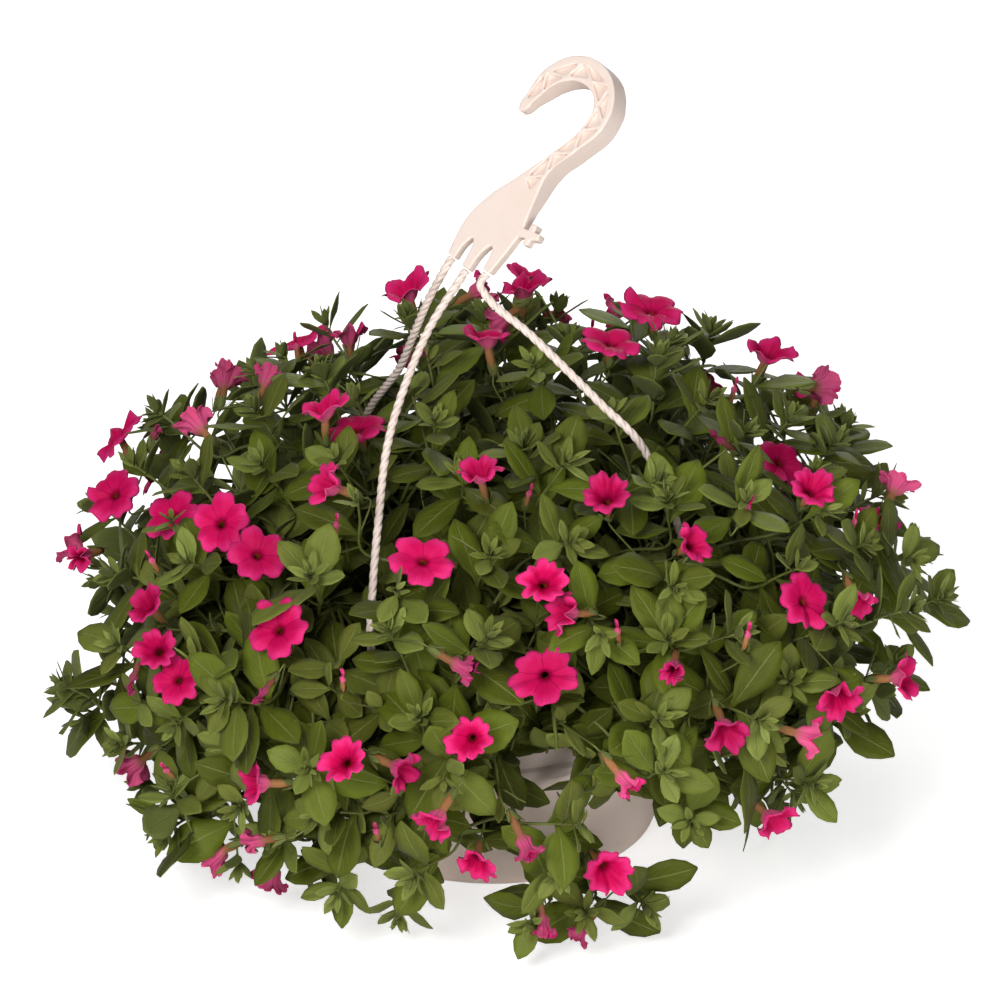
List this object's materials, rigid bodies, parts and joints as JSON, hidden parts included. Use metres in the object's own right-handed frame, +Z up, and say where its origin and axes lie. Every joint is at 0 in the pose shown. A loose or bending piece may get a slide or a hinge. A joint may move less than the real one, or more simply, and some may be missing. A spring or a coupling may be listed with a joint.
{
  "type": "petunia hanging basket",
  "caption": "Trailing petunia-like plant with magenta trumpet flowers in a round plastic pot, hung by a hooked three-strand plastic hanger.",
  "frame": {"origin": "the inside of the hook's crook, where a rail or bracket carries the basket; the pot's base lies 356 mm below it", "axes": "+Z up along the pot's axis, parallel to it, so that -Z is the way the pot's base faces; +X towards the right strand's place on the rim; -Y towards the front"},
  "size_m": [0.4283, 0.4255, 0.3704],
  "materials": {
    "pot": "pale pinkish beige injection-moulded plastic, satin",
    "hanger": "off-white moulded plastic with a soft sheen",
    "soil": "dark, crumbly peat compost",
    "crown": "woody plant base, dull brown-green",
    "foliage": "matt green leaves and soft stems, slightly downy",
    "petal": "hot pink petals with darker veins, velvety"
  },
  "bodies": {
    "root": {"pot": "pot", "soil": "soil", "hook": "hanger", "strand_back": "hanger", "strand_front": "hanger", "strand_right": "hanger", "clip_back": "hanger", "clip_front": "hanger", "clip_right": "hanger", "crown_1": "crown", "crown_2": "crown", "crown_3": "crown", "shoot_top_1": "foliage", "shoot_top_2": "foliage", "shoot_top_3": "foliage", "shoot_upper_1": "foliage", "shoot_upper_2": "foliage", "shoot_upper_3": "foliage", "shoot_upper_4": "foliage", "shoot_upper_5": "foliage", "shoot_upper_6": "foliage", "shoot_middle_1": "foliage", "shoot_middle_2": "foliage", "shoot_middle_3": "foliage", "shoot_middle_4": "foliage", "shoot_middle_5": "foliage", "shoot_middle_6": "foliage", "shoot_middle_7": "foliage", "shoot_middle_8": "foliage", "shoot_middle_9": "foliage", "shoot_skirt_1": "foliage", "shoot_skirt_2": "foliage", "shoot_skirt_3": "foliage", "shoot_skirt_4": "foliage", "shoot_skirt_5": "foliage", "shoot_skirt_6": "foliage", "shoot_skirt_7": "foliage", "shoot_skirt_8": "foliage", "shoot_skirt_9": "foliage", "blossom_1": "petal", "blossom_2": "petal", "blossom_3": "petal", "blossom_4": "petal", "blossom_5": "petal", "blossom_6": "petal", "blossom_7": "petal", "blossom_8": "petal", "blossom_9": "petal", "blossom_10": "petal", "blossom_11": "petal", "blossom_12": "petal", "blossom_13": "petal", "blossom_14": "petal", "blossom_15": "petal", "blossom_16": "petal", "blossom_17": "petal", "blossom_18": "petal", "blossom_19": "petal", "blossom_20": "petal", "blossom_21": "petal"}
  },
  "joints": []
}
